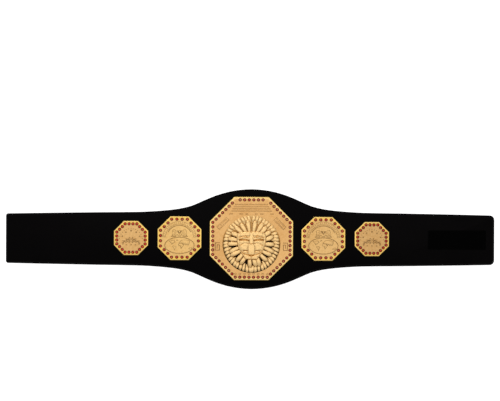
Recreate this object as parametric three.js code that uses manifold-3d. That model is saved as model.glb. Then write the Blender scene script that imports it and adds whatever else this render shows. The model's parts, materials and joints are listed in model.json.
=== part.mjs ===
// Championship belt laid flat, plates up: a black leather strap with a wide belly, five octagonal
// gold plates bordered with red stones, a cast lion mask on the main plate, and a hook-and-loop
// closure at the ends.
// Millimetres, +Z up, +X along the strap towards the loop patch, +Y towards the plates' top edges.
// The origin is under the middle of the strap, on the surface that the belt lies on.

import * as THREE from "three";
import { mergeVertices } from "three/addons/utils/BufferGeometryUtils.js";
import Module from "manifold-3d";

const wasm = await Module();
wasm.setup();

// Strap
const STRAP_LENGTH = 1270;
const STRAP_THICKNESS = 3;
const STRAP_END_HALF = 64.5;
const STRAP_CORNER = { left: 6, right: 12 };
const STRAP_CURVE_STEPS = 48;
const CORNER_STEPS = 5;
// Half the strap's width at distances from the middle of its belly.
const STRAP_STATIONS = [
  { along: 0, half: 130 },
  { along: 31, half: 128 },
  { along: 62, half: 122.5 },
  { along: 94, half: 112.8 },
  { along: 125, half: 99.8 },
  { along: 156, half: 86.4 },
  { along: 187, half: 78.8 },
  { along: 218, half: 74.7 },
  { along: 250, half: 72 },
  { along: 290, half: 69.9 },
  { along: 390, half: 68.6 },
  { along: 540, half: 66.2 },
];
// The belly and the plates sit a little to the right of the strap's middle and above its midline.
const BELLY_X = 3.5;
const PLATES_Y = 1.75;

// Screws that hold the plates from behind, each a head with a shank through the strap.
const SCREW_HEAD = { radius: 6.5, height: 1.25, sides: 10 };
const SCREW_SHANK = { radius: 3, sides: 6 };
const GAP = 0.3;

// Heights above the surface
const STRAP_BACK_Z = SCREW_HEAD.height;
const STRAP_FACE_Z = STRAP_BACK_Z + STRAP_THICKNESS;

// Plates, octagonal, with the widths given across flats
const PLATE_THICKNESS = 2.5;
const EDGE_CHAMFER = 0.5;
const OCTAGON_SIDES = 8;
const PLATES = [
  { name: "main_plate", x: 0, width: 216, stonesPerSide: 7, relief: "plaque", screws: [60, 60] },
  { name: "left_middle_plate", x: -187, width: 113.4, stonesPerSide: 3, relief: "globe", screws: [0, 36] },
  { name: "right_middle_plate", x: 187, width: 113.4, stonesPerSide: 3, relief: "globe", screws: [0, 36] },
  { name: "left_end_plate", x: -313, width: 88.6, stonesPerSide: 3, relief: "laurel", screws: [0, 26] },
  { name: "right_end_plate", x: 313, width: 88.6, stonesPerSide: 3, relief: "laurel", screws: [0, 26] },
];

// Red stones, each an eight-sided cut with a flat table, in a row inside the plates' edges. The
// main plate has none in its two top corners.
const STONE = { radius: 3.1, table: 1.8, rise: 1, sunk: 0.4, inset: 7.4, sides: 8 };
const BARE_CORNERS = { main_plate: [1, 2] };

// Low relief on the plates
const RELIEF_RISE = 0.75;
const RELIEF_SUNK = 0.25;

// Main plate: a plain reeded panel that narrows upwards over the lion, with short dashes under it,
// a smaller panel beside each upper edge, a squared key at each side and lozenges at the bottom.
const TOP_PANEL = { low: 68.5, high: 91.5, halfLow: 57, halfHigh: 44, reeds: 5, reed: 2, inset: 3 };
const SIDE_PANEL = {
  x: 74,
  y: 39,
  turn: 45,
  length: 36,
  width: 11,
  reeds: 2,
  reed: 1.8,
  inset: 2.5,
};
const DASHES = {
  y: 63.8,
  height: 1.6,
  row: [
    { x: 11, width: 5 },
    { x: 27, width: 8 },
    { x: 52, width: 8 },
  ],
};
const KEY = {
  x: 88.5,
  y: -21,
  band: 1.7,
  route: [[-5.4, 9.6], [5.4, 9.6], [5.4, -9.6], [-5.4, -9.6], [-5.4, 4.4], [0.6, 4.4], [0.6, -4.4]],
};
const LOZENGES = { count: 8, spacing: 11.9, y: -92.6, across: 2.7, up: 1.7 };

// Middle plates: a bird on an oval map of the world, under a plain curved ribbon.
const GLOBE = { y: -18.5, across: 39, up: 22, rim: 1.5, sides: 22 };
const MAP = { perLongitude: 0.2, perLatitude: 0.22, y: -20.5, narrowsAt: 95 };
const RIBBON = { inner: 36.5, outer: 44, from: 4, to: 176, steps: 12 };
const LANDS = {
  northAmerica: [[-165, 62], [-128, 48], [-83, 9], [-96, 28], [-80, 27], [-56, 50], [-95, 71]],
  southAmerica: [[-78, 8], [-50, 2], [-36, -7], [-58, -38], [-68, -54], [-71, -18], [-81, -4]],
  greenland: [[-45, 60], [-22, 72], [-58, 78]],
  africa: [[-16, 15], [-8, 34], [32, 30], [51, 10], [20, -34], [8, 4], [-8, 5]],
  eurasia: [
    [-9, 38], [8, 57], [28, 71], [105, 76], [170, 67], [121, 30], [104, 8], [88, 22], [78, 9],
    [66, 25], [48, 14], [35, 34],
  ],
  australia: [[114, -22], [142, -11], [153, -27], [147, -38], [115, -34]],
};
// Right half of the bird, from its head down to its tail.
const BIRD_HALF = [
  { x: 0, y: 20.5 },
  { x: 2.4, y: 19.3 },
  { x: 2.9, y: 16.6 },
  { x: 6.5, y: 18.6 },
  { x: 11.5, y: 22.4 },
  { x: 16.4, y: 22.6 },
  { x: 18.3, y: 19 },
  { x: 18, y: 12 },
  { x: 20.2, y: 5.6 },
  { x: 14, y: 8.6 },
  { x: 9, y: 6.6 },
  { x: 5.6, y: 9.2 },
  { x: 3.4, y: 5 },
];

// End plates: an arch of small stars, two laurel sprays and a row of beads.
const STARS = { count: 5, arch: 25, from: 25, to: 155, y: -6, outer: 2.9, inner: 1.3, points: 5 };
const SPRAYS = { leaves: 5, startX: 3, startY: -1, endX: 23, endY: -13, lean: 38 };
const LEAF = { length: 8, width: 3.4 };
const BEADS = { count: 3, spacing: 12, y: -17.5, radius: 1.7, sides: 6 };

// Lion mask, seen from the front: its mane is a disc of locks round the face.
const MASK_Y = -14;
const MANE_LOCKS = 22;
const SPOKES_PER_LOCK = 4;
// Rows of the mane from its rim to its roots. Each gives [distance from the middle, height] in
// the gap between two pairs of locks, in the groove inside a pair, on a lock's shoulder and on
// its crest. The first three rows are the small locks behind, with their crests at the shoulders.
const MANE_ROWS = [
  { row: "foot of the rim", gap: [71, 0], groove: [71, 0], shoulder: [74, 0], crest: [71, 0] },
  { row: "rim", gap: [70.7, 0.8], groove: [70.7, 0.8], shoulder: [73.2, 2.4], crest: [70.7, 0.8] },
  { row: "small locks", gap: [65, 1], groove: [66, 1], shoulder: [68.5, 3.6], crest: [67, 1.4] },
  { row: "behind the tips", gap: [54, 1], groove: [60, 1.2], shoulder: [62.5, 3.6], crest: [65, 1.8] },
  { row: "tips", gap: [51, 1], groove: [58.5, 2], shoulder: [61, 5], crest: [63.5, 5.2] },
  { row: "widest", gap: [45, 1], groove: [51, 2.4], shoulder: [53, 6.4], crest: [55, 7.4] },
  { row: "roots", gap: [29, 1.5], groove: [29, 2.8], shoulder: [29, 5.6], crest: [29, 6.4] },
];
// Half the face's width at heights above the mask's middle, from forehead to chin.
const FACE_STATIONS = [
  { y: 34, half: 28 },
  { y: 31, half: 37 },
  { y: 24, half: 39 },
  { y: 8, half: 36.6 },
  { y: -10, half: 32.6 },
  { y: -19, half: 29 },
  { y: -27, half: 24.4 },
  { y: -34, half: 20 },
  { y: -41, half: 15.4 },
];
// The face's rounded edge: shares of its outline and their heights.
const FACE_LEVELS = [
  { share: 1, z: 0 },
  { share: 1, z: 5.5 },
  { share: 0.92, z: 8 },
  { share: 0.6, z: 9 },
];
// What stands out of the face: half sizes across and up, the height of its top and its sides.
const FACE_BOSSES = [
  { name: "forehead", x: 17, y: 26, across: 16, up: 6.5, top: 10.8, sides: 8 },
  { name: "brow", x: 19.5, y: 15.2, across: 12.5, up: 3.8, top: 11.8, sides: 8 },
  { name: "nose bridge", x: 0, y: 12, across: 5.4, up: 12, top: 12.2, sides: 8 },
  { name: "nose", x: 0, y: -15.5, across: 9, up: 13.5, top: 12.8, sides: 4 },
  { name: "muzzle", x: 16, y: -10.5, across: 8.5, up: 8, top: 12, sides: 8 },
  { name: "lip", x: 15.5, y: -22.6, across: 7, up: 2.8, top: 11.2, sides: 8 },
  { name: "chin", x: 0, y: -35.8, across: 15.2, up: 4.4, top: 11.6, sides: 4 },
];
// What is cut into it: half sizes across and up at the floor of the cut, and the floor's height.
const FACE_CUTS = [
  { name: "parting", x: 0, y: 34, across: 2.2, up: 3.4, floor: 4 },
  { name: "eye", x: 19.5, y: 9.4, across: 11.8, up: 1.3, floor: 6.4 },
  { name: "nose fold", x: 0, y: -0.2, across: 10.6, up: 0.7, floor: 7.6 },
  { name: "mouth", x: 16, y: -18.6, across: 6.6, up: 0.8, floor: 7.4 },
  { name: "under the nose", x: 0, y: -30.4, across: 16, up: 0.7, floor: 7.4 },
];
// A boss rises in two steps that draw its sides in, and a cut widens by a share of its depth.
const BOSS_FOOT = 7;
const BOSS_STEPS = [
  { rise: 0, drawnIn: 0 },
  { rise: 0.7, drawnIn: 0.5 },
  { rise: 1, drawnIn: 1.8 },
];
const CUT = { top: 16, slope: 0.22, sides: 4 };

// Hook-and-loop closure: the loop patch is on the right end's face, the hook patch on the left
// end's back.
const PATCH = { length: 150, width: 50, corner: 3, fromEnd: 22, cornerSteps: 2 };
const LOOP_THICKNESS = 1.5;
const HOOK_THICKNESS = STRAP_BACK_Z;

const QUARTER = Math.PI / 2;

const leather = new THREE.MeshStandardMaterial({ color: 0x0c0b0c, roughness: 0.6, metalness: 0 });
const gold = new THREE.MeshStandardMaterial({ color: 0xdcae6a, roughness: 0.4, metalness: 1 });
const steel = new THREE.MeshStandardMaterial({ color: 0xb9a888, roughness: 0.35, metalness: 1 });
const loopPile = new THREE.MeshStandardMaterial({ color: 0x060606, roughness: 1, metalness: 0 });
const hookTape = new THREE.MeshStandardMaterial({ color: 0x0a0a0a, roughness: 0.8, metalness: 0 });

// Turns a closed geometry into a solid that can be joined and cut.
function solidOf(geometry) {
  const bare = geometry.clone();
  bare.deleteAttribute("normal");
  bare.deleteAttribute("uv");
  const merged = mergeVertices(bare, 1e-4);
  return new wasm.Manifold(
    new wasm.Mesh({
      numProp: 3,
      vertProperties: merged.attributes.position.array,
      triVerts: new Uint32Array(merged.index.array),
    }),
  );
}

function geometryOf(solid) {
  const mesh = solid.getMesh();
  const geometry = new THREE.BufferGeometry();
  geometry.setAttribute("position", new THREE.BufferAttribute(mesh.vertProperties, mesh.numProp));
  geometry.setIndex(new THREE.BufferAttribute(mesh.triVerts, 1));
  geometry.computeVertexNormals();
  return geometry;
}

function joined(solids) {
  return solids.reduce((whole, next) => whole.add(next));
}

function namedMesh(name, geometry, material) {
  const mesh = new THREE.Mesh(geometry, material);
  mesh.name = name;
  return mesh;
}

// The triangles that close a ring: a fan from one of its points where it is convex, or else from
// its middle.
function capOf(ring, convex) {
  if (convex) {
    return ring.slice(2).map((point, i) => [ring[0], ring[i + 1], point]);
  }
  const middle = new THREE.Vector3();
  ring.forEach((point) => middle.add(point));
  middle.divideScalar(ring.length);
  return ring.map((point, i) => [middle, point, ring[(i + 1) % ring.length]]);
}

// A closed skin through rings of equal length, listed from bottom to top and each anticlockwise
// seen from above.
function skinThrough(rings, convex = false) {
  const positions = [];
  const triangle = (...points) => points.forEach((p) => positions.push(p.x, p.y, p.z));
  capOf(rings[0], convex).forEach(([a, b, c]) => triangle(a, c, b));
  for (let level = 1; level < rings.length; level++) {
    const [low, high] = [rings[level - 1], rings[level]];
    low.forEach((point, i) => {
      const next = (i + 1) % low.length;
      triangle(point, low[next], high[next]);
      triangle(point, high[next], high[i]);
    });
  }
  capOf(rings[rings.length - 1], convex).forEach(([a, b, c]) => triangle(a, b, c));
  const geometry = new THREE.BufferGeometry();
  geometry.setAttribute("position", new THREE.Float32BufferAttribute(positions, 3));
  return geometry;
}

// Points evenly round an ellipse or circle; a polygon's flats face the axes.
function roundPoints({ x = 0, y = 0, across, up = across, sides }) {
  return Array.from({ length: sides }, (_, i) => {
    const angle = ((i + 0.5) / sides) * 4 * QUARTER;
    return new THREE.Vector2(x + across * Math.cos(angle), y + up * Math.sin(angle));
  });
}

const atHeight = (points, z) => points.map(({ x, y }) => new THREE.Vector3(x, y, z));

// A prism or frustum with a convex ring of points for each height.
function stacked(...levels) {
  return solidOf(skinThrough(levels.map(({ points, z }) => atHeight(points, z)), true));
}

// The corners of an octagon of that width across flats.
function octagon(width) {
  const across = width / 2 / Math.cos(Math.PI / OCTAGON_SIDES);
  return roundPoints({ across, sides: OCTAGON_SIDES });
}

function prism(shape, low, high) {
  const options = { depth: high - low, bevelEnabled: false };
  return solidOf(new THREE.ExtrudeGeometry(shape, options).translate(0, 0, low));
}

// Strap

function strapOutline() {
  const end = STRAP_LENGTH / 2;
  const { left, right } = STRAP_CORNER;
  const points = (side) =>
    STRAP_STATIONS.map(({ along, half }) => new THREE.Vector3(side * along + BELLY_X, half, 0));
  const route = [
    new THREE.Vector3(-end + left, STRAP_END_HALF, 0),
    ...points(-1).slice(1).reverse(),
    ...points(1),
    new THREE.Vector3(end - right, STRAP_END_HALF, 0),
  ];
  const curve = new THREE.CatmullRomCurve3(route, false, "centripetal");
  const topEdge = curve.getPoints(STRAP_CURVE_STEPS).map(({ x, y }) => new THREE.Vector2(x, y));
  const bottomEdge = topEdge.map(({ x, y }) => new THREE.Vector2(x, -y)).reverse();
  const corner = (x, y, radius, from) => {
    const arc = new THREE.Path().absarc(x, y, radius, from, from - QUARTER, true);
    return arc.getPoints(CORNER_STEPS).slice(1, -1);
  };
  return new THREE.Shape([
    ...topEdge,
    ...corner(end - right, STRAP_END_HALF - right, right, QUARTER),
    new THREE.Vector2(end, STRAP_END_HALF - right),
    new THREE.Vector2(end, right - STRAP_END_HALF),
    ...corner(end - right, right - STRAP_END_HALF, right, 0),
    ...bottomEdge,
    ...corner(left - end, left - STRAP_END_HALF, left, -QUARTER),
    new THREE.Vector2(-end, left - STRAP_END_HALF),
    new THREE.Vector2(-end, STRAP_END_HALF - left),
    ...corner(left - end, STRAP_END_HALF - left, left, -2 * QUARTER),
  ]);
}

// Where a plate's screws are, from the plate's middle.
function screwPlaces({ screws: [x, y] }) {
  const columns = x === 0 ? [0] : [-x, x];
  return columns.flatMap((column) => [{ x: column, y }, { x: column, y: -y }]);
}

function makeStrap() {
  const blank = prism(strapOutline(), STRAP_BACK_Z, STRAP_FACE_Z);
  const holes = PLATES.flatMap((plate) =>
    screwPlaces(plate).map((at) => {
      const points = roundPoints({
        x: BELLY_X + plate.x + at.x,
        y: PLATES_Y + at.y,
        across: SCREW_SHANK.radius + GAP,
        sides: SCREW_SHANK.sides,
      });
      return stacked({ points, z: 0 }, { points, z: STRAP_FACE_Z + 1 });
    }),
  );
  return namedMesh("strap", geometryOf(blank.subtract(joined(holes))), leather);
}

// Plates; z 0 is a plate's back.

function raised(shape, rise = RELIEF_RISE) {
  return prism(shape, PLATE_THICKNESS - RELIEF_SUNK, PLATE_THICKNESS + rise);
}

function stonePlaces({ name, width, stonesPerSide }) {
  const corners = octagon(width - 2 * STONE.inset);
  const bare = BARE_CORNERS[name] ?? [];
  return corners.flatMap((corner, i) => {
    const next = corners[(i + 1) % OCTAGON_SIDES];
    const row = Array.from({ length: stonesPerSide }, (_, n) =>
      corner.clone().lerp(next, n / stonesPerSide),
    );
    return bare.includes(i) ? row.slice(1) : row;
  });
}

function makeStone({ x, y }) {
  const { radius, table, rise, sunk, sides } = STONE;
  const girdle = roundPoints({ x, y, across: radius, sides });
  return stacked(
    { points: girdle, z: PLATE_THICKNESS - sunk },
    { points: girdle, z: PLATE_THICKNESS },
    { points: roundPoints({ x, y, across: table, sides }), z: PLATE_THICKNESS + rise },
  );
}

function leaf(x, y, degrees) {
  const half = LEAF.width / 2;
  const blade = [[0, 0], [0.45, -1], [1, 0], [0.45, 1]];
  const turn = THREE.MathUtils.degToRad(degrees);
  const points = blade.map(([along, side]) =>
    new THREE.Vector2(along * LEAF.length, side * half).rotateAround(new THREE.Vector2(), turn),
  );
  return raised(new THREE.Shape(points.map((p) => p.add(new THREE.Vector2(x, y)))));
}

// A straight bar between two points, with square ends half its width beyond them.
function bar([x0, y0], [x1, y1], width, rise) {
  const start = new THREE.Vector2(x0, y0);
  const along = new THREE.Vector2(x1, y1).sub(start).setLength(width / 2);
  const end = new THREE.Vector2(x1, y1).add(along);
  start.sub(along);
  const aside = new THREE.Vector2(-along.y, along.x);
  return raised(
    new THREE.Shape([
      start.clone().sub(aside),
      end.clone().sub(aside),
      end.clone().add(aside),
      start.clone().add(aside),
    ]),
    rise,
  );
}

const bothWays = (solids) => solids.flatMap((solid) => [solid, solid.mirror([1, 0, 0])]);

function topPanel() {
  const { low, high, halfLow, halfHigh, reeds, reed, inset } = TOP_PANEL;
  const corners = [[-halfLow, low], [halfLow, low], [halfHigh, high], [-halfHigh, high]];
  const panel = new THREE.Shape(corners.map(([x, y]) => new THREE.Vector2(x, y)));
  const rows = Array.from({ length: reeds }, (_, i) => {
    const y = THREE.MathUtils.lerp(low + inset, high - inset, i / (reeds - 1));
    const share = (y - low) / (high - low);
    const x = THREE.MathUtils.lerp(halfLow, halfHigh, share) - inset - reed / 2;
    return bar([-x, y], [x, y], reed);
  });
  return [raised(panel, RELIEF_RISE / 2), ...rows];
}

function sidePanel() {
  const { x, y, turn, length, width, reeds, reed, inset } = SIDE_PANEL;
  const half = length / 2 - width / 2;
  const rows = Array.from({ length: reeds }, (_, i) => {
    const aside = (i - (reeds - 1) / 2) * ((width - inset) / reeds);
    const reach = length / 2 - inset - reed / 2;
    return bar([-reach, aside], [reach, aside], reed);
  });
  const panel = bar([-half, 0], [half, 0], width, RELIEF_RISE / 2);
  return [panel, ...rows].map((solid) => solid.rotate([0, 0, -turn]).translate([x, y, 0]));
}

function plaqueRelief() {
  const dashes = DASHES.row.map(({ x, width }) => {
    const half = (width - DASHES.height) / 2;
    return bar([x - half, DASHES.y], [x + half, DASHES.y], DASHES.height);
  });
  const key = KEY.route
    .slice(1)
    .map((point, i) => bar(KEY.route[i], point, KEY.band).translate([KEY.x, KEY.y, 0]));
  const lozenges = Array.from({ length: LOZENGES.count }, (_, i) => {
    const { spacing, y, across, up, count } = LOZENGES;
    const x = (i - (count - 1) / 2) * spacing;
    const corners = [[x + across, y], [x, y + up], [x - across, y], [x, y - up]];
    return raised(new THREE.Shape(corners.map((corner) => new THREE.Vector2(...corner))));
  });
  return [...topPanel(), ...lozenges, ...bothWays([...sidePanel(), ...dashes, ...key])];
}

function globeRelief() {
  const { y, across, up, rim, sides } = GLOBE;
  const rimShape = new THREE.Shape(roundPoints({ y, across, up, sides }));
  rimShape.holes.push(
    new THREE.Path(roundPoints({ y, across: across - rim, up: up - rim, sides }).reverse()),
  );
  const lands = Object.values(LANDS).map((outline) =>
    raised(
      new THREE.Shape(
        outline.map(([longitude, latitude]) => {
          const narrowing = Math.sqrt(1 - (latitude / MAP.narrowsAt) ** 2);
          return new THREE.Vector2(
            longitude * MAP.perLongitude * narrowing,
            latitude * MAP.perLatitude + MAP.y,
          );
        }),
      ),
      RELIEF_RISE / 2,
    ),
  );
  return [raised(rimShape), ...lands];
}

function ribbonRelief() {
  const arc = (radius) =>
    Array.from({ length: RIBBON.steps + 1 }, (_, i) => {
      const degrees = THREE.MathUtils.lerp(RIBBON.from, RIBBON.to, i / RIBBON.steps);
      const angle = THREE.MathUtils.degToRad(degrees);
      return new THREE.Vector2(radius * Math.cos(angle), radius * Math.sin(angle));
    });
  const outline = [...arc(RIBBON.outer), ...arc(RIBBON.inner).reverse()];
  return raised(new THREE.Shape(outline), RELIEF_RISE / 2);
}

function birdRelief() {
  const right = BIRD_HALF.map(({ x, y }) => new THREE.Vector2(x, y));
  const left = right.slice(1).map(({ x, y }) => new THREE.Vector2(-x, y));
  return raised(new THREE.Shape([...right, ...left.reverse()]));
}

function laurelRelief() {
  const { count, arch, from, to, points } = STARS;
  const stars = Array.from({ length: count }, (_, i) => {
    const angle = THREE.MathUtils.degToRad(THREE.MathUtils.lerp(from, to, i / (count - 1)));
    const outline = Array.from({ length: 2 * points }, (_, n) => {
      const radius = n % 2 ? STARS.inner : STARS.outer;
      const turn = QUARTER + (n / points) * 2 * QUARTER;
      return new THREE.Vector2(
        arch * Math.cos(angle) + radius * Math.cos(turn),
        STARS.y + arch * Math.sin(angle) + radius * Math.sin(turn),
      );
    });
    return raised(new THREE.Shape(outline));
  });
  const { leaves, startX, startY, endX, endY, lean } = SPRAYS;
  const slope = THREE.MathUtils.radToDeg(Math.atan2(endY - startY, endX - startX));
  const spray = Array.from({ length: leaves }, (_, i) => {
    const share = i / leaves;
    const x = THREE.MathUtils.lerp(startX, endX, share);
    const y = THREE.MathUtils.lerp(startY, endY, share);
    return leaf(x, y, slope + (i % 2 ? lean : -lean));
  });
  const right = joined(spray);
  const beads = Array.from({ length: BEADS.count }, (_, i) => {
    const x = (i - (BEADS.count - 1) / 2) * BEADS.spacing;
    return raised(
      new THREE.Shape(roundPoints({ x, y: BEADS.y, across: BEADS.radius, sides: BEADS.sides })),
    );
  });
  return [...stars, right, right.mirror([1, 0, 0]), ...beads];
}

const RELIEFS = {
  plaque: () => plaqueRelief(),
  globe: () => [...globeRelief(), ribbonRelief(), birdRelief()],
  laurel: () => laurelRelief(),
};

function makePlate(plate) {
  const blank = stacked(
    { points: octagon(plate.width), z: 0 },
    { points: octagon(plate.width), z: PLATE_THICKNESS - EDGE_CHAMFER },
    { points: octagon(plate.width - 2 * EDGE_CHAMFER), z: PLATE_THICKNESS },
  );
  const stones = stonePlaces(plate).map(makeStone);
  const solid = joined([blank, ...RELIEFS[plate.relief](), ...stones]);
  return namedMesh(plate.name, geometryOf(solid), gold);
}

function makeScrews(plate) {
  return screwPlaces(plate).map(({ x, y }, i) => {
    const { radius, height, sides } = SCREW_HEAD;
    const head = roundPoints({ x, y, across: radius, sides });
    const shank = roundPoints({ x, y, across: SCREW_SHANK.radius, sides: SCREW_SHANK.sides });
    const solid = stacked(
      { points: head, z: -STRAP_THICKNESS - height },
      { points: head, z: -STRAP_THICKNESS },
    ).add(stacked({ points: shank, z: -STRAP_THICKNESS - height / 2 }, { points: shank, z: 0 }));
    return namedMesh(plate.name + "_screw_" + (i + 1), geometryOf(solid), steel);
  });
}

// Lion mask; z 0 is its flat back.

function mane() {
  const spokes = MANE_LOCKS * SPOKES_PER_LOCK;
  const columnOf = (spoke) => {
    const place = spoke % SPOKES_PER_LOCK;
    const lock = Math.floor(spoke / SPOKES_PER_LOCK);
    if (place === 0) return lock % 2 ? "groove" : "gap";
    return place === SPOKES_PER_LOCK / 2 ? "crest" : "shoulder";
  };
  const rings = MANE_ROWS.map((row) =>
    Array.from({ length: spokes }, (_, spoke) => {
      const [radius, height] = row[columnOf(spoke)];
      const angle = (spoke / spokes) * 4 * QUARTER - QUARTER;
      return new THREE.Vector3(radius * Math.cos(angle), radius * Math.sin(angle), height);
    }),
  );
  return solidOf(skinThrough(rings));
}

// A four-sided form is a rectangle, and one with more sides is round.
function formPoints({ x, y, sides }, across, up) {
  const fit = sides === 4 ? Math.SQRT2 : 1;
  return roundPoints({ x, y, across: across * fit, up: up * fit, sides });
}

function boss(form) {
  const levels = BOSS_STEPS.map(({ rise, drawnIn }) => ({
    points: formPoints(form, form.across - drawnIn, form.up - drawnIn),
    z: THREE.MathUtils.lerp(BOSS_FOOT, form.top, rise),
  }));
  return stacked(...levels);
}

function cut(form) {
  const { across, up, floor } = form;
  const wider = CUT.slope * (CUT.top - floor);
  const square = { ...form, sides: CUT.sides };
  return stacked(
    { points: formPoints(square, across, up), z: floor },
    { points: formPoints(square, across + wider, up + wider), z: CUT.top },
  );
}

function bothSides(form, make) {
  return form.x === 0 ? [make(form)] : [make(form), make({ ...form, x: -form.x })];
}

function face() {
  const side = (sign) => FACE_STATIONS.map(({ y, half }) => new THREE.Vector2(sign * half, y));
  const edge = [...side(1).reverse(), ...side(-1)];
  const levels = FACE_LEVELS.map(({ share, z }) => ({
    points: edge.map((point) => point.clone().multiplyScalar(share)),
    z,
  }));
  const cuts = FACE_CUTS.flatMap((form) => bothSides(form, cut));
  const bosses = FACE_BOSSES.flatMap((form) => bothSides(form, boss));
  return joined([stacked(...levels), ...bosses]).subtract(joined(cuts));
}

function makeLionMask() {
  const mask = namedMesh("lion_mask", geometryOf(mane().add(face())), gold);
  mask.position.set(0, MASK_Y, PLATE_THICKNESS);
  return mask;
}

// Closure patches

function patchGeometry(thickness) {
  const { length, width, corner, cornerSteps } = PATCH;
  const [x, y] = [length / 2 - corner, width / 2 - corner];
  const shape = new THREE.Shape()
    .absarc(x, y, corner, 0, QUARTER)
    .absarc(-x, y, corner, QUARTER, 2 * QUARTER)
    .absarc(-x, -y, corner, 2 * QUARTER, 3 * QUARTER)
    .absarc(x, -y, corner, 3 * QUARTER, 4 * QUARTER);
  return new THREE.ExtrudeGeometry(shape, {
    depth: thickness,
    bevelEnabled: false,
    curveSegments: cornerSteps,
  });
}

function makePatches() {
  const fromMiddle = STRAP_LENGTH / 2 - PATCH.fromEnd - PATCH.length / 2;
  const loop = namedMesh("loop_patch", patchGeometry(LOOP_THICKNESS), loopPile);
  loop.position.set(fromMiddle, 0, STRAP_FACE_Z);
  const hook = namedMesh("hook_patch", patchGeometry(HOOK_THICKNESS), hookTape);
  hook.position.set(-fromMiddle, 0, 0);
  return [loop, hook];
}

const belt = new THREE.Group();
belt.name = "championship_belt";
belt.add(makeStrap(), ...makePatches());

for (const plate of PLATES) {
  const station = new THREE.Group();
  station.position.set(BELLY_X + plate.x, PLATES_Y, STRAP_FACE_Z);
  station.add(makePlate(plate), ...makeScrews(plate));
  if (plate.name === "main_plate") {
    station.add(makeLionMask());
  }
  belt.add(station);
}

export default belt;
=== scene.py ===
# Looks of a championship belt that lies flat with its plates up: a black leather strap, five gold
# plates with red stones, a cast lion mask and a hook-and-loop closure. Sizes are in metres, apart
# from the tables that say millimetres.
import json
import math
import random
from contextlib import contextmanager

import bmesh
import bpy
import numpy as np
from mathutils import Matrix, Vector

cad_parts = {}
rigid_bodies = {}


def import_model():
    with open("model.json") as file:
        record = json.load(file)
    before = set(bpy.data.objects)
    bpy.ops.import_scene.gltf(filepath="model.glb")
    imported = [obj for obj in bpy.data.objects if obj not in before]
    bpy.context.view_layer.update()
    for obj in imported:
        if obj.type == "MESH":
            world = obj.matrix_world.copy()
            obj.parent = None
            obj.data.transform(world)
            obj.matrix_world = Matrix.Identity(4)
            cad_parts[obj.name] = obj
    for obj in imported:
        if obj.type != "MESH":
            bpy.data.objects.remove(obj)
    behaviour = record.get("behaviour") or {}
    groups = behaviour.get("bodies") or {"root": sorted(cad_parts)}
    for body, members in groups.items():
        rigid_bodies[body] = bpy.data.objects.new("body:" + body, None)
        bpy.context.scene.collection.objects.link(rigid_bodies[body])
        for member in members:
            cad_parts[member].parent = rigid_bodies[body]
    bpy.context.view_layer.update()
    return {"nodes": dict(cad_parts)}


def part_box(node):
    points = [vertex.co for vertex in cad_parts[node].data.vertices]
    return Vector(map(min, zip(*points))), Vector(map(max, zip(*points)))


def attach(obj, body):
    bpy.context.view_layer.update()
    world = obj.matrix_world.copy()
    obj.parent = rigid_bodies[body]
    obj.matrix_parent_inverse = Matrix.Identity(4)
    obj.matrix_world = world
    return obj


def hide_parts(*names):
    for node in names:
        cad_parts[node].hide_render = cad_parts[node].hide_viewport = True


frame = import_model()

MM = 0.001
EIGHTH = math.pi / 4
# Heights and points that are nearer to each other than this count as one.
TOLERANCE = 0.01 * MM
# A face is level when its normal's z is over the first of these, flat when it is over the second,
# and upright when it is under the third.
LEVEL = 0.999
FLAT = 0.97
UPRIGHT = 0.05

# Camera, lights and floor
LENS = 85
SENSOR = 36
VIEW_DISTANCE = 3.07
VIEW_CENTRE = (-0.65 * MM, 100.6 * MM)
VIEW_ROLL = math.radians(0.26)
SKY_STRENGTH = 0.5
LIGHTS = {
    "overhead": {"place": (0, 0.2, 3.6), "size": (4.2, 2.6), "power": 25},
    "key": {"place": (-0.6, 2.8, 2.0), "size": (2.6, 1.0), "power": 26},
}
FLOOR = {"size": 12, "z": -0.05 * MM}

# Strap
STRAP_EDGE_ROUND = 0.8 * MM
SEAM = {"inset": 4.2 * MM, "width": 1.3 * MM, "depth": 0.35 * MM, "wall": 0.3 * MM}
STITCH = {"pitch": 4.4 * MM, "half_length": 1.75 * MM, "half_width": 0.42 * MM}

# Plates
PLATE_BEVEL = {"width": 1.9 * MM, "drop": 0.3 * MM, "round": 0.12 * MM}
# The bright band that the stones are set in, from a plate's edge.
BORDER = 12.2 * MM
# For each plate: how many stones a side has with the corner at its start, which corners have none,
# and the relief. Then its gold as shares of the main plate's, darker on the right plates than on the
# left as a painted shade, as if lit from the left, its border's colour, how far out in the border
# that begins, and how pale the tables and the crowns of its stones are, from 0 to 1, a painted
# highlight and sparkle.
PLATES = {
    "main_plate": {
        "stones": 7, "bare": (1, 2), "relief": "plaque", "shade": (1, 1, 1),
        "border": (1, 0.68, 0.27, 1), "from": 0.5, "table": (0.55, 1), "crown": (0, 0.3),
    },
    "left_middle_plate": {
        "stones": 3, "bare": (), "relief": "globe", "shade": (1.06, 1.16, 1.14),
        "border": (0.93, 0.58, 0.11, 1), "from": 0.15, "table": (0.45, 0.9), "crown": (0, 0.35),
    },
    "right_middle_plate": {
        "stones": 3, "bare": (), "relief": "globe", "shade": (0.97, 1.03, 1.04),
        "border": (0.94, 0.58, 0.12, 1), "from": 0.15, "table": (0.45, 0.9), "crown": (0, 0.35),
    },
    "left_end_plate": {
        "stones": 3, "bare": (), "relief": "laurel", "shade": (0.94, 0.97, 0.98),
        "border": (0.92, 0.56, 0.12, 1), "from": 0.15, "table": (0.5, 0.8), "crown": (0.1, 0.5),
    },
    "right_end_plate": {
        "stones": 3, "bare": (), "relief": "laurel", "shade": (0.87, 0.91, 0.95),
        "border": (0.86, 0.51, 0.11, 1), "from": 0.15, "table": (0.3, 0.65), "crown": (0, 0.35),
    },
}

# Stones, as far from a plate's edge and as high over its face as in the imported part
STONE_INSET = 7.4 * MM
STONE_RISE = 1 * MM
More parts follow.
